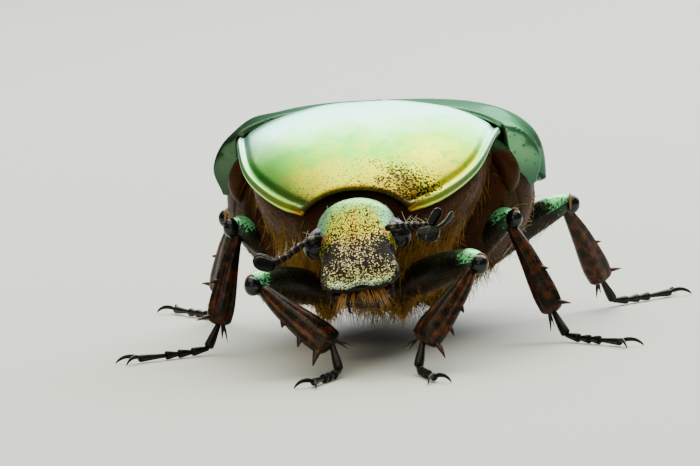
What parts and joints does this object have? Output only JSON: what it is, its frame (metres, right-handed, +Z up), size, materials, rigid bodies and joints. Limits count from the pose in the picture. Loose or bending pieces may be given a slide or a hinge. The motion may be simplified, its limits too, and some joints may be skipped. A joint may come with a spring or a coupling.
{
  "type": "rose chafer beetle",
  "caption": "Life-size metallic green chafer beetle standing on its feet with its head low and feelers spread; a still display model.",
  "frame": {"origin": "on the ground under the middle of the whole animal", "axes": "+Z up from the ground, -Y the way the head faces, +X the animal's own left"},
  "size_m": [0.0184, 0.0216, 0.0078],
  "materials": {
    "shield": "metallic cuticle, yellow-green to mint, finely pitted",
    "wing_case": "metallic green cuticle",
    "face": "metallic cuticle, densely pitted, green to bronze black",
    "eye": "glossy black",
    "antenna": "black cuticle with fine pale hair",
    "mouth": "brown with orange bristles",
    "underside": "coppery brown cuticle with golden hair",
    "leg": "black-brown cuticle with copper and green gloss"
  },
  "bodies": {
    "root": {"head": "face", "eye_left": "eye", "eye_right": "eye", "antenna_left": "antenna", "antenna_right": "antenna", "mouthparts": "mouth", "pronotum": "shield", "prothorax": "underside", "scutellum": "wing_case", "elytron_left": "wing_case", "elytron_right": "wing_case", "thorax": "underside", "abdomen": "underside", "pygidium": "wing_case", "femur_front_left": "leg", "femur_front_right": "leg", "femur_middle_left": "leg", "femur_middle_right": "leg", "femur_hind_left": "leg", "femur_hind_right": "leg", "tibia_front_left": "leg", "tibia_front_right": "leg", "tibia_middle_left": "leg", "tibia_middle_right": "leg", "tibia_hind_left": "leg", "tibia_hind_right": "leg", "tarsus_front_left": "leg", "tarsus_front_right": "leg", "tarsus_middle_left": "leg", "tarsus_middle_right": "leg", "tarsus_hind_left": "leg", "tarsus_hind_right": "leg"}
  },
  "joints": []
}
